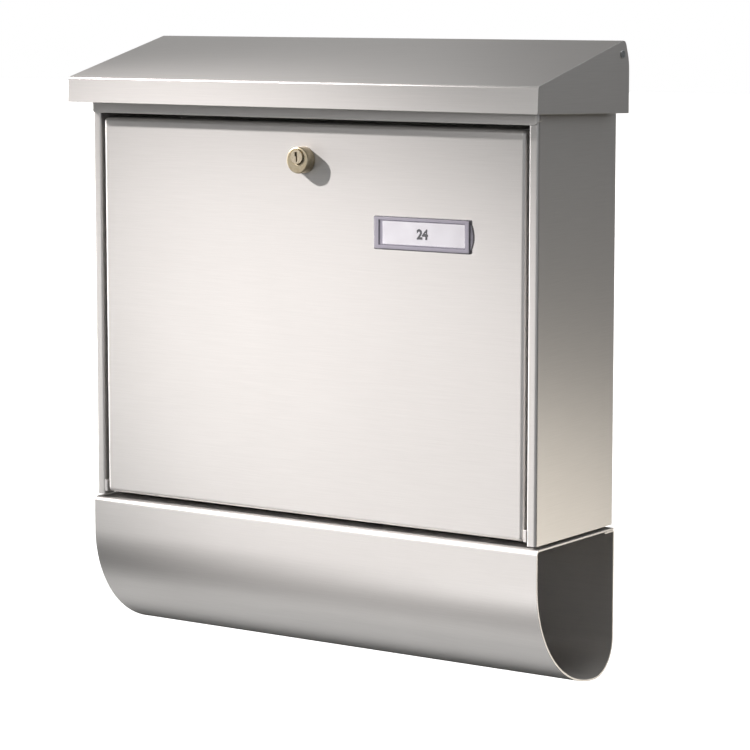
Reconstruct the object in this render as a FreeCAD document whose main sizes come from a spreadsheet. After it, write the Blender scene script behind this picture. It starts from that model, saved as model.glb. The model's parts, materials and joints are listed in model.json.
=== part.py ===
"""Wall mailbox with a lift-up roof flap, a bottom-hinged locking door and a newspaper tray.

Millimetres. +X is to the right of someone facing the door, +Y goes into the wall and +Z is up.
The origin is on the wall, at the middle of the four wall holes. Heights in the sheet are counted
from the bottom of the box, and every piece is then lowered by base_level to reach the origin.
"""
import FreeCAD, Part
import math
import os
import re
from types import SimpleNamespace

import Sketcher

SIZES = {
    # the box, folded from one sheet: back, two sides and a narrow flange beside the door
    "base_level": -150.0,
    "gauge": 1.0,
    "fold_radius": 1.5,
    "flange_fold": 0.8,
    "box_half": 180.0,
    "box_front": -98.4,
    "flange_width": 7.0,
    "flange_return": 10.4,
    "back_top": 299.0,
    "wall_hole_radius": 3.25,
    "wall_hole_half": 130.0,
    "wall_hole_low": 50.0,
    "wall_hole_high": 250.0,
    # the roof flap and the pins it turns on
    "lid_half": 188.6,
    "lid_front": -114.2,
    "lid_bottom": 274.6,
    "lid_back_bottom": 271.5,
    "fascia_top": 291.6,
    "fascia_lean": 0.9,
    "fascia_fold": 1.8,
    "ridge_y": -5.2,
    "ridge_z": 319.2,
    "shoulder_z": 305.0,
    "lip_bottom": 307.0,
    "lid_pin_y": -9.1,
    "lid_pin_z": 309.7,
    "lid_pin_radius": 2.0,
    "ear_radius": 4.6,
    "neck_y": -11.6,
    "running_gap": 0.05,
    # the rail over the door, the channel behind it and the plate with the letter slot
    "rail_bottom": 267.0,
    "rail_top": 290.5,
    "rail_half": 181.1,
    "rail_return": 3.2,
    "rail_slant": 3.4,
    "channel_back": -82.0,
    "plate_z": 284.0,
    "slot_half": 164.0,
    "slot_front": -82.0,
    "slot_back": -47.0,
    "slot_lip": 6.0,
    "buffer_radius": 4.0,
    "buffer_x": 150.0,
    "buffer_y": -91.6,
    "buffer_top": 294.6,
    # the door and its pivots
    "door_half": 170.3,
    "door_low": 2.4,
    "door_high": 263.8,
    "door_depth": 13.0,
    "door_round": 2.8,
    "pivot_y": -92.4,
    "pivot_z": 7.0,
    "pivot_radius": 2.0,
    "pivot_ear_top": 10.2,
    "pivot_ear_gap": 0.3,
    "stop_gap": 0.2,
    # the lock
    "lock_z": 240.0,
    "lock_offset": 2.3,
    "head_radius": 8.8,
    "head_height": 8.0,
    "barrel_radius": 7.8,
    "barrel_back": -80.0,
    "plug_radius": 4.65,
    "plug_recess": -0.9,
    "rim_width": 0.6,
    "rim_depth": 0.7,
    "cam_width": 14.0,
    "cam_reach": 33.0,
    "cam_thick": 2.0,
    "cam_post": 2.8,
    # the name plate
    "plate_left": 56.8,
    "plate_right": 131.4,
    "plate_low": 184.0,
    "plate_high": 206.0,
    "plate_height": 2.8,
    "plate_bulge": 1.8,
    # the newspaper tray and what holds it
    "tray_half": 181.4,
    "tray_gauge": 1.2,
    "tray_gap": 2.0,
    "tray_front": -99.5,
    "tray_back": -0.5,
    "tray_bottom": -100.0,
    "tray_front_radius": 75.0,
    "tray_back_radius": 24.0,
    "tray_edge_radius": 3.6,
    "screw_radius": 1.95,
    "screw_x": 120.0,
    "screw_front": -66.0,
    "screw_back": -26.0,
}
S = SimpleNamespace(**SIZES)
ALONG = {
    "X": FreeCAD.Rotation(FreeCAD.Vector(0, 1, 0), 90),
    "Y": FreeCAD.Rotation(FreeCAD.Vector(1, 0, 0), -90),
    "Z": FreeCAD.Rotation(),
}
NODES = []

doc = FreeCAD.newDocument("WallMailbox")
sheet = doc.addObject("Spreadsheet::Sheet", "Sizes")
for row, (alias, number) in enumerate(SIZES.items(), start=1):
    sheet.set(f"A{row}", alias)
    sheet.set(f"B{row}", str(number))
    sheet.setAlias(f"B{row}", alias)
doc.recompute()


# ---------------------------------------------------------------- helpers


def expression(text):
    """The text with the sheet's name put before each of the sheet's own words."""
    return re.sub(r"[a-z]\w*", lambda found: "Sizes." + found.group(0), str(text))


def bind(thing, **formulas):
    """Bind properties to the sheet; an underscore in a property's name stands for a dot."""
    for name, text in formulas.items():
        thing.setExpression(name.replace("_", "."), expression(text))


def block(name, low, high):
    """A box between two corners, each given as three formulas."""
    box = doc.addObject("Part::Box", name)
    bind(box, Placement_Base_x=low[0], Placement_Base_y=low[1], Placement_Base_z=low[2])
    spans = [f"({top}) - ({bottom})" for bottom, top in zip(low, high)]
    bind(box, Length=spans[0], Width=spans[1], Height=spans[2])
    return box


def rod(name, axis, foot, length, radius):
    """A cylinder that starts at foot, three formulas, and runs along the axis."""
    cylinder = doc.addObject("Part::Cylinder", name)
    cylinder.Placement = FreeCAD.Placement(FreeCAD.Vector(), ALONG[axis])
    bind(cylinder, Placement_Base_x=foot[0], Placement_Base_y=foot[1], Placement_Base_z=foot[2])
    bind(cylinder, Height=length, Radius=radius)
    return cylinder


def fuse(name, pieces):
    joined = doc.addObject("Part::MultiFuse", name)
    joined.Shapes = pieces
    return joined


def cut(name, base, tools):
    """The base with all the tools taken away."""
    result = doc.addObject("Part::Cut", name)
    result.Base = base
    result.Tool = tools[0] if len(tools) == 1 else fuse(name + "_tools", tools)
    return result


def rounded(name, base, radius, chosen):
    """Round the edges that chosen, a test of an edge's bounding box, picks out."""
    doc.recompute()
    result = doc.addObject("Part::Fillet", name)
    result.Base = base
    picked = [i for i, edge in enumerate(base.Shape.Edges, start=1) if chosen(edge.BoundBox)]
    result.Edges = [(i, radius, radius) for i in picked]
    return result


def near(first, second):
    return abs(first - second) < 0.01


def on_front_or_along_y(front):
    """Picks a box's four front edges and the four that run from front to back."""
    return lambda b: near(b.YMax, front) or b.YLength > max(b.XLength, b.ZLength)


def node(label, piece):
    """Name a finished piece and bring it from box heights to the part's own frame."""
    piece.Label = label
    bind(piece, Placement_Base_z="base_level")
    NODES.append(piece)
    return piece


def group(label, pieces):
    """Separate solids under one name."""
    together = doc.addObject("Part::Compound", label)
    together.Links = pieces
    return node(label, together)


def vector(point):
    return FreeCAD.Vector(point[0], point[1], 0)


def corner(before, here, after, radius):
    """Where a round of this radius leaves one straight, its middle, and where it meets the next."""
    here = vector(here)
    back = (vector(before) - here).normalize()
    ahead = (vector(after) - here).normalize()
    half_angle = back.getAngle(ahead) / 2
    middle_line = (back + ahead).normalize()
    reach = radius / math.tan(half_angle)
    centre = here + middle_line * (radius / math.sin(half_angle))
    return here + back * reach, centre - middle_line * radius, here + ahead * reach


def arc(start, middle, end):
    """An arc through three points, drawn anticlockwise as a sketch needs it."""
    anticlockwise = (middle - start).cross(end - middle).z > 0
    return Part.Arc(start, middle, end) if anticlockwise else Part.Arc(end, middle, start)


def joined(stops):
    """Lines between neighbouring stops, and an arc wherever a stop has three points."""
    edges = []
    for stop, following in zip(stops, stops[1:] + stops[:1]):
        if len(stop) == 3:
            edges.append(arc(*stop))
        if stop[-1].distanceToPoint(following[0]) > 1e-6:
            edges.append(Part.LineSegment(stop[-1], following[0]))
    return edges


def closed_outline(points):
    """A closed outline through corners given as (u, v), or as (u, v, radius) where they are round."""
    stops = []
    for before, here, after in zip(points[-1:] + points[:-1], points, points[1:] + points[:1]):
        stops.append(corner(before, here, after, here[2]) if len(here) == 3 else (vector(here),))
    return joined(stops)


def sheet_outline(path, thickness):
    """The closed outline of a folded sheet.

    The path is the middle of the sheet: (u, v) at its two ends and (u, v, radius) at its folds.
    """
    def face(shift):
        stops = []
        for i, point in enumerate(path):
            legs = [(path[j], path[j + 1]) for j in (i - 1, i) if 0 <= j < len(path) - 1]
            headings = [(vector(after) - vector(before)).normalize() for before, after in legs]
            aside = [FreeCAD.Vector(-heading.y, heading.x, 0) for heading in headings]
            if len(point) == 3:
                places = corner(path[i - 1], point, path[i + 1], point[2])
                aside.insert(1, (aside[0] + aside[1]).normalize())
            else:
                places = [vector(point)]
            stops.append([place + across * shift for place, across in zip(places, aside)])
        return stops

    far_face = [stop[::-1] for stop in reversed(face(-0.5 * thickness))]
    return joined(face(0.5 * thickness) + far_face)


def sketch_in(body, plane, edges):
    """A sketch on one of the body's own planes, its edges joined end to end."""
    sketch = body.newObject("Sketcher::SketchObject", body.Name + "_outline")
    support = [f for f in body.Origin.OriginFeatures if f.Role == plane][0]
    sketch.AttachmentSupport = (support, [""])
    sketch.MapMode = "FlatFace"
    for edge in edges:
        sketch.addGeometry(edge, False)
    ends = [(g.StartPoint, g.EndPoint) for g in sketch.Geometry]
    for i in range(len(ends)):
        j = (i + 1) % len(ends)
        pairs = [(a, b) for a in (0, 1) for b in (0, 1) if ends[i][a].distanceToPoint(ends[j][b]) < 1e-4]
        sketch.addConstraint(Sketcher.Constraint("Coincident", i, pairs[0][0] + 1, j, pairs[0][1] + 1))
    return sketch


def padded(name, plane, edges, length, start=None):
    """A PartDesign body: the outline padded both ways from its plane, or upwards from a start height."""
    body = doc.addObject("PartDesign::Body", name)
    sketch = sketch_in(body, plane, edges)
    pad = body.newObject("PartDesign::Pad", name + "_pad")
    pad.Profile = sketch
    if start is None:
        pad.SideType = "Symmetric"
    else:
        bind(sketch, AttachmentOffset_Base_z=start)
    bind(pad, Length=length)
    return body


# ---------------------------------------------------------------- the box


def roof_slope():
    """Rise of the roof for each millimetre towards the wall."""
    front = S.lid_front + S.fascia_lean
    return (S.ridge_z - S.fascia_top) / (S.ridge_y - front)


def pivot_rod(name, side, inner, outer, radius):
    """A cylinder on the door's pivot line, between two distances from the middle of the box."""
    foot = (f"{inner}" if side > 0 else f"-({outer})", "pivot_y", "pivot_z")
    return rod(name, "X", foot, f"({outer}) - ({inner})", radius)


def lid_rod(name, side, inner, outer, radius):
    """A cylinder on the roof flap's pin line, between two distances from the middle of the box."""
    foot = (f"{inner}" if side > 0 else f"-({outer})", "lid_pin_y", "lid_pin_z")
    return rod(name, "X", foot, f"({outer}) - ({inner})", radius)


def body_wrap():
    """Back, sides and door flanges in one folded sheet, with its top cut to follow the roof."""
    middle = S.gauge / 2
    side = S.box_half - middle
    front = S.box_front + middle
    inner = S.box_half - S.flange_width + middle
    end = S.box_front + S.flange_return
    r = S.fold_radius
    right = [(inner, end), (inner, front, S.flange_fold), (side, front, r), (side, -middle, r)]
    left = [(-x, y, *rest) for x, y, *rest in reversed(right)]
    wrap = padded("BodyWrap", "XY_Plane", sheet_outline(right + left, S.gauge), "ridge_z", start="0 * gauge")

    slope = roof_slope()
    top_at_pin = S.lid_pin_z + S.ear_radius * math.hypot(1, slope)
    over = 20.0
    far = S.box_front - over
    outline = [
        (far, top_at_pin + slope * (far - S.lid_pin_y)),
        (S.neck_y, top_at_pin + slope * (S.neck_y - S.lid_pin_y)),
        (S.neck_y, S.back_top),
        (over, S.back_top),
        (over, S.ridge_z + over),
        (far, S.ridge_z + over),
    ]
    above = padded("AboveBox", "YZ_Plane", closed_outline(outline), "3 * box_half")
    ears = rod("PinEars", "X", ("-2 * box_half", "lid_pin_y", "lid_pin_z"), "4 * box_half", "ear_radius")

    tools = [cut("AboveBoxCut", above, [ears])]
    for side_name, sign in (("Left", -1), ("Right", 1)):
        for level in ("low", "high"):
            foot = (f"{sign} * wall_hole_half", "-3 * gauge", f"wall_hole_{level}")
            tools.append(rod(f"WallHole{side_name}_{level}", "Y", foot, "6 * gauge", "wall_hole_radius"))
        tools.append(lid_rod(f"LidPinHole{side_name}", sign, "box_half - 3 * gauge", "box_half + 3 * gauge",
                             "lid_pin_radius + running_gap"))
        tools.append(pivot_rod(f"PivotHole{side_name}", sign, "box_half - flange_width - gauge",
                               "box_half - flange_width + 2 * gauge", "pivot_radius + 6 * running_gap"))
    node("body_wrap", cut("BodyWrapCut", wrap, tools))


def screw_places():
    """Name, x formula and y formula of the four screws between the box and the tray."""
    for side_name, sign in (("Left", -1), ("Right", 1)):
        for row in ("front", "back"):
            yield f"{side_name}_{row}", f"{sign} * screw_x", f"screw_{row}"


def floor_pan():
    """Floor of the box, turned up at the wall and behind the door."""
    middle = S.gauge / 2
    back = -1.5 * S.gauge - S.running_gap
    lip = S.channel_back + middle
    path = [(back, 12.0), (back, middle, S.fold_radius), (lip, middle, S.fold_radius), (lip, 7.0)]
    pan = padded("FloorPan", "YZ_Plane", sheet_outline(path, S.gauge), "2 * (box_half - 1.8 * gauge)")
    holes = [rod(f"FloorHole{name}", "Z", (x, y, "-gauge"), "3 * gauge", "screw_radius + running_gap")
             for name, x, y in screw_places()]
    node("floor_pan", cut("FloorPanCut", pan, holes))


def top_rail():
    """Band over the door. Its ends are folded round the box's front corners and cut off slanting."""
    middle = S.gauge / 2
    side = S.rail_half - middle
    front = S.box_front - middle
    end = S.box_front + S.rail_return
    bend = S.fold_radius + S.gauge
    path = [(side, end), (side, front, bend), (-side, front, bend), (-side, end)]
    rail = padded("TopRail", "XY_Plane", sheet_outline(path, S.gauge), "rail_top - rail_bottom",
                  start="rail_bottom")
    outer = S.box_front - S.gauge

    def lower_front(b):
        return near(b.ZMax, S.rail_bottom) and near(b.YMin, outer) and near(b.YMax, outer)

    eased = rounded("TopRailRound", rail, 0.6 * S.gauge, lower_front)
    corners = []
    for name, sign in (("Left", -1), ("Right", 1)):
        outside = sign * (S.rail_half + 1)
        outline = [(outside, S.rail_bottom - 1), (outside, S.rail_bottom + S.rail_slant + 1),
                   (sign * (S.rail_half - S.rail_slant - 1), S.rail_bottom - 1)]
        corners.append(padded(f"RailCorner{name}", "XZ_Plane", closed_outline(outline[::sign]), "3 * box_half"))
    node("top_rail", cut("TopRailTrimmed", eased, corners))


def catch_channel():
    """Channel behind the rail, whose upturned back edge the lock's cam reaches over."""
    middle = S.gauge / 2
    front = S.box_front + middle
    low = S.rail_bottom + middle
    back = S.channel_back - middle
    r = S.fold_radius
    path = [(front, S.plate_z - 2), (front, low, r), (back, low, r), (back, low + 6.5)]
    edges = sheet_outline(path, S.gauge)
    node("catch_channel", padded("CatchChannel", "YZ_Plane", edges, "2 * (box_half - flange_width) - gauge"))


def letter_plate():
    """Plate under the roof flap with the letter slot, its long edges turned down."""
    middle = S.gauge / 2
    front = S.box_front + 1.6 * S.gauge
    back = -1.5 * S.gauge - S.running_gap
    level = S.plate_z + middle
    r = S.fold_radius
    path = [(front, S.plate_z - 6), (front, level, r), (back, level, r), (back, S.plate_z - 12)]
    plate = padded("LetterPlate", "YZ_Plane", sheet_outline(path, S.gauge), "2 * (box_half - 1.8 * gauge)")
    slot = block("Slot", ("-slot_half", "slot_front", "plate_z - gauge"),
                 ("slot_half", "slot_back", "plate_z + 2 * gauge"))
    notches = [block(f"Notch{name}", (low, "box_front - gauge", "plate_z - 20"),
                     (high, "box_front + flange_return + gauge", "plate_z + 20"))
               for name, low, high in (("Left", "-box_half", "flange_width + 0.6 - box_half"),
                                       ("Right", "box_half - flange_width - 0.6", "box_half"))]
    opened = cut("LetterPlateCut", plate, [slot] + notches)
    lips = [block("SlotFrontLip", ("-slot_half", "slot_front - gauge", "plate_z - slot_lip"),
                  ("slot_half", "slot_front", "plate_z + 0.5 * gauge")),
            block("SlotBackLip", ("-slot_half", "slot_back", "plate_z - slot_lip"),
                  ("slot_half", "slot_back + gauge", "plate_z + 0.5 * gauge"))]
    node("letter_plate", fuse("LetterPlateFuse", [opened] + lips))


def lid_buffers():
    """Two rubber buffers on the letter plate, under the closed roof flap."""
    pieces = [rod(f"LidBuffer{name}", "Z", (f"{sign} * buffer_x", "buffer_y", "plate_z + gauge"),
                  "buffer_top - plate_z - gauge", "buffer_radius")
              for name, sign in (("Left", -1), ("Right", 1))]
    group("lid_buffers", pieces)


def pivot_ears():
    """Thick ears at the foot of each flange, with the bores that the door's pins turn in."""
    for name, sign in (("left", -1), ("right", 1)):
        near_side = "door_half + pivot_ear_gap"
        far_side = "box_half - flange_width"
        low_x, high_x = (near_side, far_side) if sign > 0 else (f"-({far_side})", f"-({near_side})")
        ear = block(f"Ear_{name}", (low_x, "box_front", "door_low"),
                    (high_x, "box_front + 12", "pivot_ear_top"))
        inner = sign * (S.door_half + S.pivot_ear_gap)

        def inner_front(b, x=inner):
            return near(b.YMax, S.box_front) and near(b.XMin, x) and near(b.XMax, x)

        softened = rounded(f"EarRound_{name}", ear, 0.8, inner_front)
        bore = pivot_rod(f"EarBore_{name}", sign, "door_half", "box_half", "pivot_radius + running_gap")
        node(f"pivot_ear_{name}", cut(f"EarCut_{name}", softened, [bore]))


def door_stops():
    """Tabs on the side walls that the closed door comes to rest against."""
    front = "box_front + door_depth + stop_gap"
    pieces = []
    for name, sign in (("Left", -1), ("Right", 1)):
        reach = ("door_half - 6", "box_half - gauge")
        low_x, high_x = reach if sign > 0 else (f"-({reach[1]})", f"-({reach[0]})")
        pieces.append(block(f"DoorStop{name}", (low_x, front, "door_high - 24"),
                            (high_x, front + " + 1.5 * gauge", "door_high - 6")))
    group("door_stops", pieces)


# ---------------------------------------------------------------- the roof flap


def lid_profile(inset, depth):
    """Side outline of the flap, moved inwards by inset and down by depth at its open bottom."""
    slope = roof_slope()
    drop = inset / math.cos(math.atan(slope))
    front_top = S.lid_front + S.fascia_lean + inset
    roof = lambda y: S.ridge_z - drop + slope * (y - S.ridge_y)
    shoulder = (S.ridge_z - S.shoulder_z, -S.ridge_y)
    inward = inset / math.hypot(*shoulder)
    ridge_y = S.ridge_y - inset * 0.55
    return [
        (S.lid_front + inset, S.lid_bottom - depth),
        (front_top, roof(front_top), max(S.fascia_fold - inset, 0.6)),
        (ridge_y, roof(ridge_y), 4.0 - inset),
        (-inset, S.shoulder_z - inward * shoulder[1], 30.0 - inset),
        (-inset, S.lid_back_bottom - depth),
    ]


def roof_flap():
    """Roof, fascia and both skirts: an upturned tray with an open bottom and back."""
    below = 30.0
    outside = closed_outline(lid_profile(0.0, 0.0))
    inside = closed_outline(lid_profile(S.gauge, below))
    outer = padded("FlapOuter", "YZ_Plane", outside, "2 * lid_half")
    inner = padded("FlapInner", "YZ_Plane", inside, "2 * (lid_half - gauge)")
    tools = [inner]
    tools.append(block("BackOpening", ("gauge - lid_half", "-3 * gauge", "lid_back_bottom - 20"),
                       ("lid_half - gauge", "gauge", "lip_bottom")))
    for name, sign in (("Left", -1), ("Right", 1)):
        tools.append(lid_rod(f"SkirtHole{name}", sign, "box_half + 4", "lid_half + gauge", "lid_pin_radius"))
    node("roof_flap", cut("RoofFlapCut", outer, tools))


def flap_pins():
    """Riveted pins that carry the flap, each with a flat head outside and a shoulder inside."""
    pieces = []
    for name, sign in (("Left", -1), ("Right", 1)):
        shank = lid_rod(f"PinShank{name}", sign, "box_half - 2.8 * gauge", "lid_half", "lid_pin_radius")
        head = lid_rod(f"PinHead{name}", sign, "lid_half", "lid_half + 0.6", "lid_pin_radius + 0.6")
        shoulder = lid_rod(f"PinShoulder{name}", sign, "box_half - 2.8 * gauge", "box_half - 1.3 * gauge",
                           "lid_pin_radius + 1")
        pieces.append(fuse(f"Pin{name}", [shank, head, shoulder]))
    group("flap_pins", pieces)


def flap_bushes():
    """Bushes that keep the skirts clear of the box on both sides."""
    pieces = []
    for name, sign in (("Left", -1), ("Right", 1)):
        sleeve = lid_rod(f"Sleeve{name}", sign, "box_half + 0.3", "lid_half - gauge", "lid_pin_radius + 1.6")
        hole = lid_rod(f"SleeveHole{name}", sign, "box_half", "lid_half", "lid_pin_radius")
        pieces.append(cut(f"Bush{name}", sleeve, [hole]))
    group("flap_bushes", pieces)


# ---------------------------------------------------------------- the door


def door_panel():
    """Flat door with all four edges rounded over and turned back."""
    outer = block("DoorOuter", ("-door_half", "box_front", "door_low"),
                  ("door_half", "box_front + door_depth", "door_high"))
    outer_round = rounded("DoorOuterRound", outer, S.door_round, on_front_or_along_y(S.box_front))
    inner = block("DoorInner", ("gauge - door_half", "box_front + gauge", "door_low + gauge"),
                  ("door_half - gauge", "box_front + door_depth + gauge", "door_high - gauge"))
    inner_round = rounded("DoorInnerRound", inner, S.door_round - S.gauge,
                          on_front_or_along_y(S.box_front + S.gauge))
    lock_hole = rod("LockHole", "Y", ("0 * gauge", "box_front - gauge", "lock_z"), "3 * gauge",
                    "barrel_radius + 2 * running_gap")
    pins = [pivot_rod(f"DoorPinHole{name}", sign, "door_half - 2 * gauge", "door_half + gauge",
                      "pivot_radius") for name, sign in (("Left", -1), ("Right", 1))]
    node("door_panel", cut("DoorPanelCut", outer_round, [inner_round, lock_hole] + pins))


def door_pins():
    """Pins pressed into the foot of the door's turned-back sides."""
    pieces = [pivot_rod(f"DoorPin{name}", sign, "door_half - 2.5 * gauge", "box_half - flange_width + 2",
                        "pivot_radius") for name, sign in (("Left", -1), ("Right", 1))]
    group("door_pins", pieces)


def lock_housing():
    """Round lock head in front of the door and its barrel behind, bored off centre for the plug."""
    front = "box_front - head_height"
    head = rod("LockHead", "Y", ("0 * gauge", front, "lock_z"), "head_height", "head_radius")
    edge = S.box_front - S.head_height
    soft_head = rounded("LockHeadRound", head, 1.0, lambda b: near(b.YMin, edge) and near(b.YMax, edge))
    barrel = rod("LockBarrel", "Y", ("0 * gauge", "box_front", "lock_z"), "barrel_back - box_front",
                 "barrel_radius")
    bore = rod("LockBore", "Y", ("0 * gauge", front + " - gauge", "lock_z + lock_offset"),
               "barrel_back - box_front + head_height + 2 * gauge", "plug_radius + running_gap")
    rim = rod("LockRim", "Y", ("0 * gauge", front + " - gauge", "lock_z + lock_offset"), "gauge + rim_depth",
              "plug_radius + rim_width")
    node("lock_housing", cut("LockHousingCut", fuse("LockHousing", [soft_head, barrel]), [bore, rim]))


def lock_nut():
    """Six-sided nut that clamps the barrel to the door from inside."""
    prism = doc.addObject("Part::Prism", "NutBlank")
    prism.Polygon = 6
    prism.Placement = FreeCAD.Placement(FreeCAD.Vector(), ALONG["Y"])
    bind(prism, Circumradius="barrel_radius + 4.2", Height="4 * gauge")
    bind(prism, Placement_Base_y="box_front + gauge", Placement_Base_z="lock_z")
    hole = rod("NutHole", "Y", ("0 * gauge", "box_front", "lock_z"), "8 * gauge", "barrel_radius")
    node("lock_nut", cut("LockNutCut", prism, [hole]))


def lock_plug():
    """Turning core with its key slot, a square post for the cam and a tapped hole for the cam's screw."""
    front = "box_front - head_height + plug_recess"
    axis_z = "lock_z + lock_offset"
    core = rod("PlugCore", "Y", ("0 * gauge", front, axis_z),
               "barrel_back - box_front + head_height - plug_recess + 0.1", "plug_radius")
    post = block("PlugPost", ("-cam_post", "barrel_back", axis_z + " - cam_post"),
                 ("cam_post", "barrel_back + 0.2 + cam_thick", axis_z + " + cam_post"))
    slot = block("KeySlot", ("-0.35", front + " - gauge", axis_z + " - 3.2"),
                 ("0.65", front + " + 13", axis_z + " + 0.8"))
    ward = block("KeyWard", ("-1.3", front + " - gauge", axis_z + " + 0.4"),
                 ("0.5", front + " + 13", axis_z + " + 3.2"))
    tapped = rod("PlugTapped", "Y", ("0 * gauge", "barrel_back - 6", axis_z), "12",
                 "screw_radius + running_gap")
    node("lock_plug", cut("LockPlugCut", fuse("LockPlug", [core, post]), [slot, ward, tapped]))


def lock_cam():
    """Flat cam on the plug's square post. It hangs down when the door is free to open."""
    axis_z = "lock_z + lock_offset"
    back = "barrel_back + 0.2"
    arm = block("CamArm", ("-0.5 * cam_width", back, axis_z + " - cam_reach"),
                ("0.5 * cam_width", back + " + cam_thick", axis_z))
    eye = rod("CamEye", "Y", ("0 * gauge", back, axis_z), "cam_thick", "0.5 * cam_width")
    tip = S.lock_z + S.lock_offset - S.cam_reach
    blank = rounded("CamRound", fuse("CamBlank", [arm, eye]), 3.0,
                    lambda b: near(b.ZMin, tip) and near(b.ZMax, tip) and b.YLength > b.XLength)
    square = block("CamSquare", ("-cam_post", back + " - gauge", axis_z + " - cam_post"),
                   ("cam_post", back + " + 2 * cam_thick", axis_z + " + cam_post"))
    node("lock_cam", cut("LockCamCut", blank, [square]))


def cam_screw():
    """Screw and washer face that hold the cam on the plug."""
    axis_z = "lock_z + lock_offset"
    seat = "barrel_back + 0.2 + cam_thick"
    shank = rod("CamScrewShank", "Y", ("0 * gauge", "barrel_back - 5", axis_z), "5.2 + cam_thick",
                "screw_radius")
    washer = rod("CamWasher", "Y", ("0 * gauge", seat, axis_z), "0.8", "2.5 * screw_radius")
    head = rod("CamScrewHead", "Y", ("0 * gauge", seat + " + 0.8", axis_z), "2.4", "1.8 * screw_radius")
    slot = block("CamScrewSlot", ("-0.5", seat + " + 2.2", axis_z + " - 5"),
                 ("0.5", seat + " + 4", axis_z + " + 5"))
    node("cam_screw", cut("CamScrewCut", fuse("CamScrew", [shank, washer, head]), [slot]))


def nameplate_frame():
    """Plastic frame stuck to the door, with a small thumb bulge at its right end."""
    front = S.box_front - S.plate_height
    blank = block("FrameBlank", ("plate_left", "box_front - plate_height", "plate_low"),
                  ("plate_right", "box_front", "plate_high"))
    soft = rounded("FrameRound", blank, 1.2, on_front_or_along_y(front))
    half_span = 8.0
    bulge_radius = half_span ** 2 / (2 * S.plate_bulge) + S.plate_bulge / 2
    disc = rod("BulgeDisc", "Y", (f"plate_right + plate_bulge - {bulge_radius:.3f}",
                                  "box_front - plate_height + 0.8", "0.5 * (plate_low + plate_high)"),
               "plate_height - 0.8", f"{bulge_radius:.3f}")
    limit = block("BulgeLimit", ("plate_right - 2.5", "box_front - plate_height", "plate_low + 3"),
                  ("plate_right + 4", "box_front", "plate_high - 3"))
    bulge = doc.addObject("Part::MultiCommon", "Bulge")
    bulge.Shapes = [disc, limit]
    sight = block("Sight", ("plate_left + 4.3", "box_front - 2 * plate_height", "plate_low + 3.2"),
                  ("plate_right - 3.8", "box_front + gauge", "plate_high - 2.5"))
    seat = block("Seat", ("plate_left + 2", "box_front - plate_height + 0.9", "plate_low + 1.6"),
                 ("plate_right - 2", "box_front + gauge", "plate_high - 1.4"))
    node("nameplate_frame", cut("FrameCut", fuse("FrameWhole", [soft, bulge]), [sight, seat]))


def nameplate_layer(label, inset, front, thickness):
    """A flat leaf inside the frame, set back by front from the frame's face."""
    leaf = block(label + "_leaf", (f"plate_left + {inset}", f"box_front - plate_height + {front}",
                                   f"plate_low + {inset - 0.4}"),
                 (f"plate_right - {inset}", f"box_front - plate_height + {front + thickness}",
                  f"plate_high - {inset - 0.6}"))
    group(label, [leaf])


# ---------------------------------------------------------------- the newspaper tray


def newspaper_tray():
    """One sheet rolled into a trough: flat top, upright front, round belly, back folded under the top."""
    middle = S.tray_gauge / 2
    top = -S.tray_gap - middle
    front = S.tray_front + middle
    back = S.tray_back - middle
    low = S.tray_bottom + middle
    tuck = top - S.tray_gauge - 2 * S.running_gap
    path = [
        (back, top),
        (front, top, S.tray_edge_radius - middle),
        (front, low, S.tray_front_radius - middle),
        (back, low, S.tray_back_radius - middle),
        (back, tuck, S.fold_radius),
        (back - 12, tuck),
    ]
    tray = padded("NewspaperTray", "YZ_Plane", sheet_outline(path, S.tray_gauge), "2 * tray_half")
    holes = [rod(f"TrayHole{name}", "Z", (x, y, "-tray_gap - 3 * tray_gauge"), "4 * tray_gauge",
                 "screw_radius + running_gap") for name, x, y in screw_places()]
    node("newspaper_tray", cut("NewspaperTrayCut", tray, holes))


def tray_fastenings():
    """Spacers between box and tray, and a screw and nut through each."""
    spacers, screws, nuts = [], [], []
    for name, x, y in screw_places():
        ring = rod(f"SpacerRing{name}", "Z", (x, y, "-tray_gap"), "tray_gap", "6")
        hole = rod(f"SpacerHole{name}", "Z", (x, y, "-2 * tray_gap"), "4 * tray_gap",
                   "screw_radius + running_gap")
        spacers.append(cut(f"Spacer{name}", ring, [hole]))
        under = "-tray_gap - tray_gauge"
        head = rod(f"ScrewHead{name}", "Z", (x, y, under + " - 2.6"), "2.6", "2 * screw_radius")
        shank = rod(f"ScrewShank{name}", "Z", (x, y, under), "tray_gap + tray_gauge + 6", "screw_radius")
        screws.append(fuse(f"Screw{name}", [head, shank]))
        blank = doc.addObject("Part::Prism", f"TrayNutBlank{name}")
        blank.Polygon = 6
        bind(blank, Circumradius="2 * screw_radius", Height="3.2 * gauge", Placement_Base_x=x,
             Placement_Base_y=y, Placement_Base_z="gauge")
        thread = rod(f"NutThread{name}", "Z", (x, y, "0 * gauge"), "6 * gauge", "screw_radius")
        nuts.append(cut(f"TrayNut{name}", blank, [thread]))
    group("tray_spacers", spacers)
    group("tray_screws", screws)
    group("tray_nuts", nuts)


# ---------------------------------------------------------------- build, check and write


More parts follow.
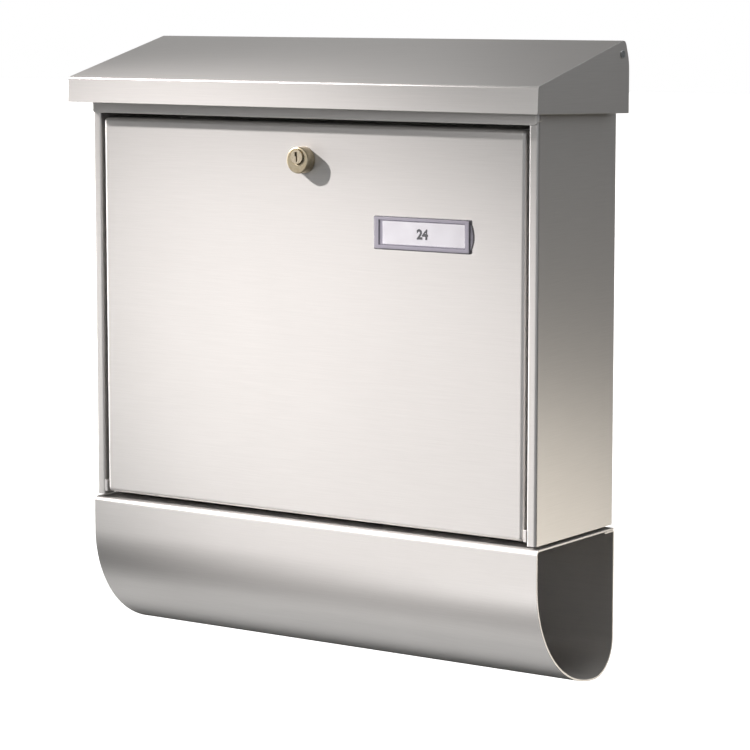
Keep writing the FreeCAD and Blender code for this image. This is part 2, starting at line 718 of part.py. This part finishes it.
def main():
    body_wrap()
    floor_pan()
    top_rail()
    catch_channel()
    letter_plate()
    lid_buffers()
    pivot_ears()
    door_stops()
    roof_flap()
    flap_pins()
    flap_bushes()
    door_panel()
    door_pins()
    lock_housing()
    lock_nut()
    lock_plug()
    lock_cam()
    cam_screw()
    nameplate_frame()
    nameplate_layer("nameplate_window", 2.2, 0.95, 0.6)
    nameplate_layer("nameplate_card", 2.4, 1.7, 0.4)
    newspaper_tray()
    tray_fastenings()
    doc.recompute()

    failed = [thing.Label for thing in doc.Objects if {"Invalid", "Error"} & set(thing.State)]
    assert not failed, f"failed objects: {failed}"
    for piece in NODES:
        assert not piece.Shape.isNull() and piece.Shape.isValid(), piece.Label
    os.makedirs("parts", exist_ok=True)
    for piece in NODES:
        piece.Shape.exportStep(f"parts/{piece.Label}.step")
        box = piece.Shape.BoundBox
        print(f"{piece.Label:18} solids {len(piece.Shape.Solids)}  volume {piece.Shape.Volume:10.0f}"
              f"  x {box.XMin:7.1f} {box.XMax:7.1f}  y {box.YMin:7.1f} {box.YMax:6.1f}"
              f"  z {box.ZMin:7.1f} {box.ZMax:7.1f}")


main()
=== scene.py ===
# %% [markdown]
# # A wall mailbox in satin stainless sheet
#
# The mailbox hangs on a wall. Its roof lifts as the letter flap, its door folds down, and a rolled
# tray under the box takes the newspaper. The engineering model already has every piece at its real
# size, so this lesson loads it as a fixed frame and gives it what an engineer leaves out: soft
# folded edges, real finishes, a printed card, and a studio to stand in.

# %% Load the frame
import json
import math

import bmesh
import bpy
import numpy as np
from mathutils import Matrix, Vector


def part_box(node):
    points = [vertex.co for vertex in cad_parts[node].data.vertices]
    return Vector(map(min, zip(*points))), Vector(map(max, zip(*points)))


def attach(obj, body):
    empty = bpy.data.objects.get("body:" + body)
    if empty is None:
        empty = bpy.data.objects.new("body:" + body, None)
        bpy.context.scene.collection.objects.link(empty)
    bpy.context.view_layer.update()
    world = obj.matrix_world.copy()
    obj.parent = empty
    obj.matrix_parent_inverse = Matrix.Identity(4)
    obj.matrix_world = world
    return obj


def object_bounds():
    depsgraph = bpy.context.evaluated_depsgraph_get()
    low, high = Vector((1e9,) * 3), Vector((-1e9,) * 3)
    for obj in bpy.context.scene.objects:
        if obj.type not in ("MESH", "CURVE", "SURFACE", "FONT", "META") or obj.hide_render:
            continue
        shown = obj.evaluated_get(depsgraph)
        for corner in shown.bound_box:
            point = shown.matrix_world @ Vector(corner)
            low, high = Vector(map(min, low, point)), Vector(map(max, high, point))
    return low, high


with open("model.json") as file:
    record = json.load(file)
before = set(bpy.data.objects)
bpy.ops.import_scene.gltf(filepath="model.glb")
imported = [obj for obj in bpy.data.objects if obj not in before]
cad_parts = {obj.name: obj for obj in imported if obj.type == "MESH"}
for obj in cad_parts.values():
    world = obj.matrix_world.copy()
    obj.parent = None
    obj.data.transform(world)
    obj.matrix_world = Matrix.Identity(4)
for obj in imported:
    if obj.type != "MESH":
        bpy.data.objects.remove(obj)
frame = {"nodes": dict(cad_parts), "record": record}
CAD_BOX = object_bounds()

MM = 0.001
NODES = frame["nodes"]
LOW, HIGH = CAD_BOX
print("pieces:", len(NODES), " size in mm:", [round(side / MM) for side in HIGH - LOW])

# %% [markdown]
# ## The camera
#
# A catalogue photographer stands well back with a long lens, so that upright edges stay nearly
# parallel. Here the camera is 2 m away, a little above the middle of the box and to the right of
# the door, and it looks slightly down.

# %% Camera
LENS_MM = 140.3
TURN = math.radians(34.33)
DOWN = math.radians(7.48)


def make_camera(place):
    """A camera at place whose view runs along (-sin turn cos down, cos turn cos down, -sin down)."""
    camera = bpy.data.objects.new("camera", bpy.data.cameras.new("camera"))
    camera.data.lens = LENS_MM
    camera.location = place
    camera.rotation_euler = (math.pi / 2 - DOWN, 0, TURN)
    bpy.context.scene.collection.objects.link(camera)
    bpy.context.scene.camera = camera
    return camera


camera = make_camera((1.125, -1.663, 0.200))
print("camera stands", round(camera.location.length, 2), "m from the wall holes")

# %% [markdown]
# ## Helpers for materials
#
# Finish colours are written the way paint and metal charts give them, as sRGB hex values, and one
# function turns them to the linear numbers that Blender adds up. Another function adds a node with
# its settings and its links in one line, so that each recipe below reads from top to bottom.

# %% Material helpers


def linear(hex_colour):
    """sRGB hex to linear RGBA: c / 12.92 below 0.04045, else ((c + 0.055) / 1.055) ** 2.4."""
    parts = [int(hex_colour[i:i + 2], 16) / 255 for i in (0, 2, 4)]
    return [c / 12.92 if c <= 0.04045 else ((c + 0.055) / 1.055) ** 2.4 for c in parts] + [1.0]


def add(tree, kind, links=None, **settings):
    """Add one node. links maps an input to a value or to another node's output."""
    node = tree.nodes.new(kind)
    for name, value in settings.items():
        setattr(node, name, value)
    for socket, source in (links or {}).items():
        if isinstance(source, bpy.types.NodeSocket):
            tree.links.new(source, node.inputs[socket])
        else:
            node.inputs[socket].default_value = source
    return node


def new_material(name, **surface):
    """A material with one Principled shader, whose even values are set on its own sockets."""
    material = bpy.data.materials.new(name)
    material.use_nodes = True
    shader = material.node_tree.nodes["Principled BSDF"]
    for socket, value in surface.items():
        shader.inputs[socket.replace("_", " ")].default_value = value
    return material, material.node_tree, shader


print("steel grey C8C8C8 is", round(linear("C8C8C8")[0], 3), "in linear light")

# %% [markdown]
# Three more helpers make the patterns: a colour ramp, a stretch of a value to a range, and a noise
# whose size is given in real millimetres.

# %% Pattern helpers


def ramp(tree, factor, stops):
    """A colour ramp from a factor; stops are (position, hex colour)."""
    node = add(tree, "ShaderNodeValToRGB", {"Fac": factor})
    for i, (place, colour) in enumerate(stops):
        if i >= 2:
            node.color_ramp.elements.new(place)
        node.color_ramp.elements[i].position = place
        node.color_ramp.elements[i].color = linear(colour)
    return node.outputs["Color"]


def span(tree, value, low, high):
    """Stretch a 0 to 1 value to run from low to high."""
    node = add(tree, "ShaderNodeMapRange", {"Value": value, "To Min": low, "To Max": high})
    return node.outputs["Result"]


def noise(tree, place, size_mm, detail=3.0, roughness=0.5):
    """Noise whose lumps are size_mm across, on coordinates in metres."""
    links = {"Vector": place, "Scale": 1 / (size_mm * MM), "Detail": detail, "Roughness": roughness}
    return add(tree, "ShaderNodeTexNoise", links).outputs["Fac"]


print("patterns are sized in units of", MM, "m")

# %% [markdown]
# ## Satin stainless sheet
#
# The sheets are stainless steel, ground with a fine belt so that every scratch runs level round
# the box, and then matted. The scratches are a few hundredths of a millimetre wide, which is too
# fine to show, so they are drawn 0.5 mm apart. A scratch is long in one direction and thin in the
# other two, so the noise is fed with coordinates shrunk along the belt: along X on faces that look
# forwards, up or down, and along Y on faces that look sideways. What the eye gets is a broad soft
# highlight, a faint level grain and slow cloudy changes where the belt pressed harder.

# %% Satin stainless


def belt_direction(tree):
    """Coordinates in metres, shrunk 60 times along the belt, which turns with the face."""
    place = add(tree, "ShaderNodeTexCoord").outputs["Object"]
    normal = add(tree, "ShaderNodeNewGeometry").outputs["Normal"]
    facing = add(tree, "ShaderNodeSeparateXYZ", {0: normal})
    sideways = add(tree, "ShaderNodeMath", {0: facing.outputs["X"]}, operation="ABSOLUTE").outputs[0]
    is_side = add(tree, "ShaderNodeMath", {0: sideways, 1: 0.75}, operation="GREATER_THAN").outputs[0]
    along_x = add(tree, "ShaderNodeMapping", {"Vector": place, "Scale": (1 / 60, 1, 1)}).outputs[0]
    along_y = add(tree, "ShaderNodeMapping", {"Vector": place, "Scale": (1, 1 / 60, 1)}).outputs[0]
    links = {"Factor": is_side, 4: along_x, 5: along_y}
    belt = add(tree, "ShaderNodeMix", links, data_type="VECTOR")
    return place, belt.outputs[1]


def satin_stainless(name, dark, light, rough):
    material, tree, shader = new_material(name, Metallic=0.7)
    place, belt = belt_direction(tree)
    grain = noise(tree, belt, 0.5, detail=4.0, roughness=0.6)
    clouds = noise(tree, place, 90.0, detail=2.0)
    links = {"Factor": 0.35, 2: grain, 3: clouds}
    mixed = add(tree, "ShaderNodeMix", links, data_type="FLOAT").outputs[0]
    tree.links.new(ramp(tree, mixed, [(0.30, dark), (0.70, light)]), shader.inputs["Base Color"])
    tree.links.new(span(tree, mixed, rough + 0.025, rough - 0.025), shader.inputs["Roughness"])
    relief = add(tree, "ShaderNodeBump", {"Height": grain, "Strength": 0.07, "Distance": 0.02 * MM})
    tree.links.new(relief.outputs["Normal"], shader.inputs["Normal"])
    return material


SATIN = satin_stainless("satin_stainless", "CCC9C6", "D4D1CE", 0.42)
print("made", SATIN.name)

# %% [markdown]
# ## Small metals
#
# The lock is brass under a thin coat of satin nickel, warmer than the steel. Screws, nuts, pins
# and the cam are zinc plated steel, bluish and a little mottled from the bath.

# %% Nickel, brass and zinc


def plated(name, dark, light, rough, mottle_mm, relief_mm):
    """A plated metal: colour and roughness drift with a mottle, and a fine grit gives it tooth."""
    material, tree, shader = new_material(name, Metallic=1.0)
    place = add(tree, "ShaderNodeTexCoord").outputs["Object"]
    mottle = noise(tree, place, mottle_mm)
    grit = noise(tree, place, 0.25, detail=2.0)
    tree.links.new(ramp(tree, mottle, [(0.35, dark), (0.65, light)]), shader.inputs["Base Color"])
    tree.links.new(span(tree, mottle, rough + 0.06, rough - 0.06), shader.inputs["Roughness"])
    bump = {"Height": grit, "Strength": 0.25, "Distance": relief_mm * MM}
    relief = add(tree, "ShaderNodeBump", bump)
    tree.links.new(relief.outputs["Normal"], shader.inputs["Normal"])
    return material


NICKEL = plated("satin_nickel_plate", "A3977F", "B5AA92", 0.42, 3.0, 0.02)
PLUG_METAL = plated("worn_nickel_brass", "BDB19A", "D6CBB5", 0.40, 1.5, 0.02)
ZINC = plated("bright_zinc_plate", "A9ACAE", "C4C6C6", 0.35, 2.0, 0.02)
print("made", NICKEL.name, PLUG_METAL.name, ZINC.name)

# %% [markdown]
# ## Plastics, rubber and card
#
# The name plate is moulded from clear acrylic: the frame is thick and smoky grey, and its window is
# thin and nearly invisible. The frame's sides and its thumb grip carry painted shade: they are
# coloured darker than its face. The bushes and spacers are white nylon and the roof's buffers are
# black rubber, both with a moulded grain. The card is uncoated, so its fibres scatter light and it
# has no shine. Its white is toned down to a light grey, or the key would burn it out.

# %% Plastics, rubber and card


def moulded(name, dark, light, rough, grain_mm, relief_mm, **surface):
    """A moulded or pressed surface: slow colour drift, and an even grain in the relief."""
    material, tree, shader = new_material(name, **surface)
    shader.inputs["Roughness"].default_value = rough
    place = add(tree, "ShaderNodeTexCoord").outputs["Object"]
    drift = noise(tree, place, 12.0)
    grain = noise(tree, place, grain_mm, detail=2.0)
    tree.links.new(ramp(tree, drift, [(0.3, dark), (0.7, light)]), shader.inputs["Base Color"])
    bump = {"Height": grain, "Strength": 0.4, "Distance": relief_mm * MM}
    relief = add(tree, "ShaderNodeBump", bump)
    tree.links.new(relief.outputs["Normal"], shader.inputs["Normal"])
    return material


def acrylic_with_painted_side_shade(name, edge, face, rough, grip):
    """Thick grey acrylic with painted shade: its sides and its thumb grip beyond x = grip are darker.
    """
    material, tree, shader = new_material(name, Roughness=rough, Transmission_Weight=0.3, IOR=1.49)
    place = add(tree, "ShaderNodeTexCoord").outputs["Object"]
    normal = add(tree, "ShaderNodeNewGeometry").outputs["Normal"]
    facing = add(tree, "ShaderNodeSeparateXYZ", {0: normal})
    # Painted shade: faces that do not look straight forwards or backwards take the darker side
    # colour.
    flat = add(tree, "ShaderNodeMath", {0: facing.outputs["Y"]}, operation="ABSOLUTE").outputs[0]
    across = add(tree, "ShaderNodeSeparateXYZ", {0: place}).outputs["X"]
    # Painted shade: the thumb grip beyond x = grip is coloured a tenth darker.
    plate = add(tree, "ShaderNodeMath", {0: across, 1: grip}, operation="LESS_THAN").outputs[0]
    lit = {0: flat, 1: span(tree, plate, 0.9, 1.0)}
    flat = add(tree, "ShaderNodeMath", lit, operation="MULTIPLY").outputs[0]
    swirl = noise(tree, place, 9.0)
    links = {"Factor": 0.12, 2: flat, 3: swirl}
    mixed = add(tree, "ShaderNodeMix", links, data_type="FLOAT").outputs[0]
    # The edge colour is painted shade on the sides and grip; the face colour is the plastic's own
    # grey.
    tree.links.new(ramp(tree, mixed, [(0.80, edge), (0.92, face)]), shader.inputs["Base Color"])
    relief = add(tree, "ShaderNodeBump", {"Height": swirl, "Strength": 0.3, "Distance": 0.02 * MM})
    tree.links.new(relief.outputs["Normal"], shader.inputs["Normal"])
    return material


GRIP_WIDTH = 1.75 * MM
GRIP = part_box("nameplate_frame")[1].x - GRIP_WIDTH
# 48474E is the painted shade on the frame's sides and grip; 928F98 is the plastic's own grey.
SMOKY_AND_PAINTED_SHADE = acrylic_with_painted_side_shade("grey_acrylic_painted_side_shade", "48474E", "928F98", 0.2, GRIP)
CLEAR = moulded("clear_acrylic_window", "94949A", "A4A4AA", 0.05, 3.0, 0.003, Alpha=0.08, IOR=1.49)
NYLON = moulded("white_moulded_nylon", "D8D7D0", "E4E3DC", 0.5, 0.6, 0.03, IOR=1.53)
RUBBER = moulded("black_moulded_rubber", "141414", "202020", 0.75, 0.5, 0.06, IOR=1.52)
CARD = moulded("uncoated_white_card", "B4B2B6", "BCBABE", 0.9, 0.4, 0.02, IOR=1.5)
INK = moulded("black_printing_ink", "101012", "18181A", 0.6, 0.4, 0.01, IOR=1.5)
print("made", [m.name for m in (SMOKY_AND_PAINTED_SHADE, CLEAR, NYLON, RUBBER, CARD, INK)])

# %% [markdown]
# ## Giving the frame its finishes
#
# Sheet metal is never sharp: a shear leaves an edge that a file has to break, and a weld is ground
# round. The engineering model has knife edges, so a Bevel breaks them by a few tenths of a
# millimetre, which is what catches the thin bright line along a real edge. The model's triangles
# are loose, so Weld joins them first and Decimate merges the ones that lie flat side by side, and
# at the end Weighted Normal keeps the flat faces flat.

# %% Break the edges and assign
FINISH = {
    "stainless_sheet": (SATIN, 0.30),
    "zinc_steel": (ZINC, 0.15),
    "satin_nickel": (NICKEL, 0.25),
    "brass_core": (PLUG_METAL, 0.12),
    "black_rubber": (RUBBER, 0.5),
    "white_nylon": (NYLON, 0.2),
    "grey_plastic": (SMOKY_AND_PAINTED_SHADE, 0.2),
    "clear_plastic": (CLEAR, 0.05),
    "white_card": (CARD, 0.0),
}
SHARP = math.radians(32)


def break_edges(piece, width_mm):
    """Weld the triangles, round every edge sharper than SHARP, and shade the rest smooth."""
    weld = piece.modifiers.new("weld", "WELD")
    weld.merge_threshold = 0.001 * MM
    flat = piece.modifiers.new("join flat triangles", "DECIMATE")
    flat.decimate_type = "DISSOLVE"
    flat.angle_limit = math.radians(0.1)
    if width_mm:
        bevel = piece.modifiers.new("broken edge", "BEVEL")
        bevel.width = width_mm * MM
        bevel.segments = 2
        bevel.limit_method = "ANGLE"
        bevel.angle_limit = SHARP
        bevel.harden_normals = False
    piece.data.polygons.foreach_set("use_smooth", np.ones(len(piece.data.polygons), bool))
    evened = piece.modifiers.new("even shading", "WEIGHTED_NORMAL")
    evened.keep_sharp = True


for part in frame["record"]["subparts"]:
    piece = NODES[part["node"]]
    finish, width = FINISH[part["material_slot"]]
    piece.data.materials.clear()
    piece.data.materials.append(finish)
    break_edges(piece, width)
print("finished", len(NODES), "pieces in", len(FINISH), "finishes")

# %% [markdown]
# ## The printed card
#
# A name card is printed before it is slid in. This one carries only a house number. Its figures
# are a text curve turned into a mesh and moved to the card's face, a hair in front of the paper.

# %% House number
FIGURE_SHARE = 0.7    # a figure's height as a share of its font's size
STROKE_MM = 0.40      # how much every stroke is thickened, so that the number reads from the street
INK_GAP_MM = 0.03     # how far the ink lies in front of the paper


def print_on_card(words, height_mm):
    """Flat figures, centred on the card, facing the street."""
    low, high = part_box("nameplate_card")
    curve = bpy.data.curves.new("figures", "FONT")
    curve.body = words
    curve.align_x = "CENTER"
    curve.align_y = "CENTER"
    curve.size = height_mm * MM / FIGURE_SHARE
    curve.offset = STROKE_MM * MM
    text = bpy.data.objects.new("figures", curve)
    bpy.context.scene.collection.objects.link(text)
    bpy.context.view_layer.update()
    graph = bpy.context.evaluated_depsgraph_get()
    flat = bpy.data.meshes.new_from_object(text.evaluated_get(graph))
    bpy.data.objects.remove(text)
    points = np.empty(len(flat.vertices) * 3)
    flat.vertices.foreach_get("co", points)
    across, up = points.reshape(-1, 3)[:, 0], points.reshape(-1, 3)[:, 1]
    middle = (low + high) / 2
    across = across - (across.max() + across.min()) / 2
    up = up - (up.max() + up.min()) / 2
    front = np.full_like(up, low.y - INK_GAP_MM * MM)
    ink = np.column_stack([middle.x + across, front, middle.z + up])
    flat.vertices.foreach_set("co", ink.ravel())
    flat.update()
    piece = bpy.data.objects.new("house_number", flat)
    bpy.context.scene.collection.objects.link(piece)
    flat.materials.clear()
    flat.materials.append(INK)
    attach(piece, "door")
    return piece


number = print_on_card("24", 6.0)
print("house number:", len(number.data.vertices), "points")

# %% [markdown]
# ## The name plate's inner slope
#
# Inside its frame the name plate slopes down to the window, with mitred corners. The slope is
# broad on the left, where the card is slid in, and narrow elsewhere. It starts steep and ends
# nearly flat, and its steep part takes the acrylic's darker side colour, which is painted shade. It
# is one small profile carried round a rectangle: each of its corners is moved inwards in x and z by
# that side's own width. The acrylic lets the lamps through, so the slope, the frame and the window
# throw no shadow.

# %% A moulding round a rectangle


def frame_slope(low, high, widths, inset, depth):
    """A closed moulding carried round a rectangle, with mitred corners.

    Point (k, j) is the rectangle's corner k moved inwards by widths * inset[j], at depth[j]. The
    profile (inset, depth) is closed, and so is the path round the four corners.
    """
    left, right, under, over = widths
    west, east = low.x + left * inset, high.x - right * inset
    foot, top = low.z + under * inset, high.z - over * inset
    x, z = np.stack([west, east, east, west]), np.stack([foot, foot, top, top])
    points = np.stack([x, np.broadcast_to(depth, x.shape), z], axis=-1).reshape(-1, 3)
    count = len(inset)
    corner, ring = np.meshgrid(np.arange(4), np.arange(count), indexing="ij")
    after, beyond = (corner + 1) % 4, (ring + 1) % count
    quads = np.stack([corner * count + ring, corner * count + beyond,
                      after * count + beyond, after * count + ring], -1)
    return points, quads.reshape(-1, 4)


# %% [markdown]
# Points and faces become a piece in one place: its faces are turned outwards, it gets its finish,
# and it rides on a body of the frame.

# %% A new piece


def new_piece(name, points, faces, finish, body, slot):
    """A piece from arrays of points and faces, on a body, with its faces turned outwards."""
    mesh = bpy.data.meshes.new(name)
    mesh.from_pydata(points.tolist(), [], faces.tolist())
    shell = bmesh.new()
    shell.from_mesh(mesh)
    bmesh.ops.recalc_face_normals(shell, faces=shell.faces)
    shell.to_mesh(mesh)
    shell.free()
    mesh.materials.append(finish)
    piece = bpy.data.objects.new(name, mesh)
    bpy.context.scene.collection.objects.link(piece)
    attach(piece, body)
    return piece


# %% [markdown]
# The slope starts at the edge of the frame's sight, which is the hole in its face. The sight's sides
# are measured from the frame's left end, foot and top.

# %% Inner slope
frame_low, frame_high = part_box("nameplate_frame")
window_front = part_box("nameplate_window")[0].y
SIGHT_LEFT, SIGHT_RIGHT, SIGHT_FOOT, SIGHT_TOP = 4.3 * MM, 70.8 * MM, 3.2 * MM, 2.5 * MM
SIGHT_LOW = Vector((frame_low.x + SIGHT_LEFT, 0, frame_low.z + SIGHT_FOOT))
SIGHT_HIGH = Vector((frame_low.x + SIGHT_RIGHT, 0, frame_high.z - SIGHT_TOP))
WIDTHS = (2.6 * MM, 0.8 * MM, 0.8 * MM, 0.8 * MM)
LIP, KNEE, CLEARANCE = 0.25 * MM, 0.75 * MM, 0.02 * MM
INSET = np.array([0.0, 0.35, 1.0, 0.0])
BACK = window_front - CLEARANCE
DEPTH = np.array([frame_low.y + LIP, frame_low.y + KNEE, BACK, BACK])
moulding = frame_slope(SIGHT_LOW, SIGHT_HIGH, WIDTHS, INSET, DEPTH)
# The slope wears the acrylic with painted side shade, so its steep parts come out dark.
slope = new_piece("nameplate_slope", *moulding, SMOKY_AND_PAINTED_SHADE, "door", "grey_plastic")
for piece in (slope, NODES["nameplate_frame"], NODES["nameplate_window"]):
    piece.visible_shadow = False
print("inner slope:", len(slope.data.polygons), "faces")

# %% [markdown]
# ## The floor
#
# The box hangs over a plain pale floor. The floor's paint glows, so that it stays one even white
# behind the sheet metal. The metal neither mirrors it nor is lit by it, which is how a catalogue
# studio works with black cloth round the object. It still stops some, not all, of the light that
# the suns send from below it, and the suns' strengths allow for that.

# %% Floor


def make_floor(level):
    """A square 40 m across at the given height."""
    half = 20.0
    corners = [(-half, -half, level), (half, -half, level),
               (half, half, level), (-half, half, level)]
    mesh = bpy.data.meshes.new("studio_floor")
    mesh.from_pydata(corners, [], [(0, 1, 2, 3)])
    floor = bpy.data.objects.new("studio_floor", mesh)
    bpy.context.scene.collection.objects.link(floor)
    white = linear("F7F6F4")
    paint, _, _ = new_material("pale_floor_paint", Base_Color=white, Roughness=0.9,
                               Emission_Color=white, Emission_Strength=0.9)
    mesh.materials.append(paint)
    floor.visible_glossy = False
    floor.visible_diffuse = False
    return floor


floor = make_floor(LOW.z - 0.4)
print("floor lies", round((LOW.z - floor.data.vertices[0].co.z) / MM), "mm below the tray")

# %% [markdown]
# ## The lamps
#
# One small lamp high on the left is the key: it draws the crisp shadows beside the lock and under
# the roof, and its soft-edged cone leaves the door's top right corner dimmer. Three soft boxes in
# front, one to the left, one low and one high, are what the satin door and the tray mirror. A warm
# card low on the right lights the foot of the dark side, and another behind lights the roof. Wide,
# weak suns stand for the studio's pale ceiling and walls. The last one grazes the front from the
# left and draws the bright lines along the folds. Lamps are in watts, suns in watts per square
# metre.

# %% Lamps
LOCK_FACE = Vector((0, -0.098, 0.09))
TO_KEY = Vector((-13.2, -8.0, 8.6)).normalized()
DOOR = Vector((0, -0.1, 0))
WIDE = math.radians(50)
WHITE, BLUSH, BEIGE, COOL = (1, 1, 1), (1, 0.965, 0.96), (1, 0.93, 0.82), (0.93, 0.96, 1)


def from_direction(azimuth, elevation):
    """A point 3 m away: azimuth 0 in front, 90 to the right, elevation upwards, in degrees."""
    turn, rise = math.radians(azimuth), math.radians(elevation)
    reach = math.cos(rise)
    return 3 * Vector((math.sin(turn) * reach, -math.cos(turn) * reach, math.sin(rise)))


def make_lamp(name, kind, strength, place, target, colour=WHITE, **settings):
    """A lamp at place that points at target."""
    lamp = bpy.data.objects.new(name, bpy.data.lights.new(name, kind))
    lamp.data.energy = strength
    lamp.data.color = colour
    for key, value in settings.items():
        setattr(lamp.data, key, value)
    bpy.context.scene.collection.objects.link(lamp)
    lamp.location = place
    lamp.rotation_euler = (Vector(target) - Vector(place)).to_track_quat("-Z", "Y").to_euler()
    return lamp


lamps = [
    make_lamp("key", "SPOT", 1010, LOCK_FACE + 2.4 * TO_KEY, (0.2, -0.1, -0.2), BLUSH,
              spot_size=math.radians(13), spot_blend=1.0, shadow_soft_size=0.04),
    make_lamp("soft_left", "AREA", 0.88, (-0.9, -0.95, -0.3), DOOR, size=0.3),
    make_lamp("soft_low", "AREA", 1.15, (-0.3, -0.95, -0.6), DOOR, size=0.3),
    make_lamp("soft_high", "AREA", 1.45, (0.0, -0.95, 0.3), DOOR, size=0.3),
    make_lamp("side_card", "AREA", 0.88, (0.55, 0.3, -0.3), (0.19, -0.05, -0.1), BEIGE, size=0.3),
    make_lamp("roof_card", "AREA", 0.18, (-0.45, 0.40, 0.58), (0, -0.05, 0.15), size=0.4),
    make_lamp("wall_left_low", "SUN", 0.65, from_direction(-90, -60), (0, 0, 0), angle=WIDE),
    make_lamp("ceiling", "SUN", 1.60, (0, 0, 3), (0, 0, 0), angle=WIDE),
    make_lamp("wall_right", "SUN", 0.70, from_direction(135, 28), (0, 0, 0), COOL, angle=WIDE),
    make_lamp("wall_front_right", "SUN", 0.45, from_direction(42, 0), (0, 0, 0), COOL, angle=WIDE),
    make_lamp("left_rim", "SUN", 1.9, from_direction(-80, -4), (0, 0, 0), angle=math.radians(25)),
]
print("lamps:", [lamp.name for lamp in lamps])

# %% [markdown]
# ## The air round it
#
# The world is white where the camera looks past the floor, and a dim grey for everything else.

# %% World and tone
AIR_GLOW = 0.02
world = bpy.data.worlds.new("studio_air")
bpy.context.scene.world = world
world.use_nodes = True
air = world.node_tree
seen = add(air, "ShaderNodeLightPath").outputs["Is Camera Ray"]
backdrop = add(air, "ShaderNodeBackground", {"Color": (1, 1, 1, 1), "Strength": 1.0}).outputs[0]
glow = add(air, "ShaderNodeBackground", {"Color": (1, 1, 1, 1), "Strength": AIR_GLOW}).outputs[0]
both = add(air, "ShaderNodeMixShader", {"Fac": seen, 1: glow, 2: backdrop}).outputs[0]
air.links.new(both, air.nodes["World Output"].inputs["Surface"])
bpy.context.scene.view_settings.view_transform = "Standard"
print("world glow:", AIR_GLOW)
